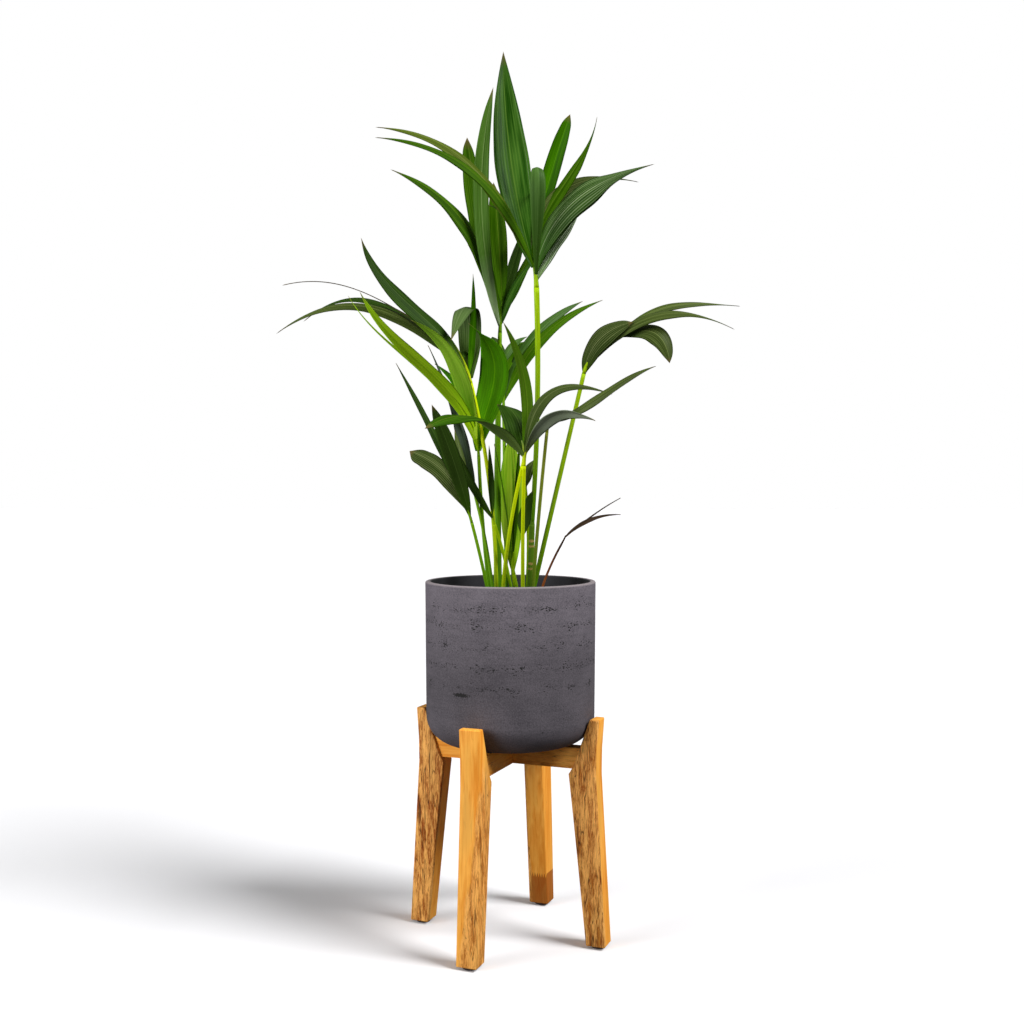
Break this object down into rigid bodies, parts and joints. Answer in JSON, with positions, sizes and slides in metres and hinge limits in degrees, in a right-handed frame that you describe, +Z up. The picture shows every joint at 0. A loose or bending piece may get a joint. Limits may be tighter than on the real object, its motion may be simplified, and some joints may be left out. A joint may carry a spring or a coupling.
{
  "type": "potted kentia palm",
  "caption": "Tall indoor palm with slim green stalks and long pointed leaflets, in a round grey cement pot on a wooden stand with splayed legs.",
  "frame": {"origin": "on the floor under the middle of the pot, which is the middle of the underside of the bounding box", "axes": "+Z up, +X to the viewer's right in the front view, +Y away from the viewer"},
  "size_m": [0.6179, 0.4003, 1.158],
  "materials": {
    "cement": "matt dark grey cement with small open pits",
    "soil": "damp dark potting soil",
    "wood": "oiled honey-coloured reclaimed wood with darker weathered faces",
    "pad": "matt black",
    "cane": "satin dark green with tan scars",
    "stalk": "satin green to yellow-green",
    "leaf": "waxy, softly glossy green",
    "withered_leaf": "dry matt brown"
  },
  "bodies": {
    "root": {"pot": "cement", "soil": "soil", "leg_right": "wood", "leg_back": "wood", "leg_left": "wood", "leg_front": "wood", "rail_side_to_side": "wood", "rail_front_to_back": "wood", "pad_right": "pad", "pad_back": "pad", "pad_left": "pad", "pad_front": "pad", "cane": "cane", "stalk_crown": "stalk", "stalk_tall_back": "stalk", "stalk_left_high": "stalk", "stalk_young": "stalk", "stalk_back": "stalk", "stalk_right": "stalk", "stalk_front_left": "stalk", "stalk_front_right": "stalk", "stalk_side": "stalk", "stalk_low_left": "stalk", "stalk_low_inner": "stalk", "stalk_left_slim": "stalk", "stalk_spear": "stalk", "stalk_small": "stalk", "stalk_sprout": "stalk", "stalk_withered": "stalk", "frond_crown": "leaf", "frond_tall_back": "leaf", "frond_left_high": "leaf", "frond_young": "leaf", "frond_back": "leaf", "frond_right": "leaf", "frond_front_left": "leaf", "frond_front_right": "leaf", "frond_side": "leaf", "frond_low_left": "leaf", "frond_low_inner": "leaf", "frond_left_slim": "leaf", "frond_spear": "leaf", "frond_small": "leaf", "frond_sprout": "leaf", "frond_withered": "withered_leaf"}
  },
  "joints": []
}
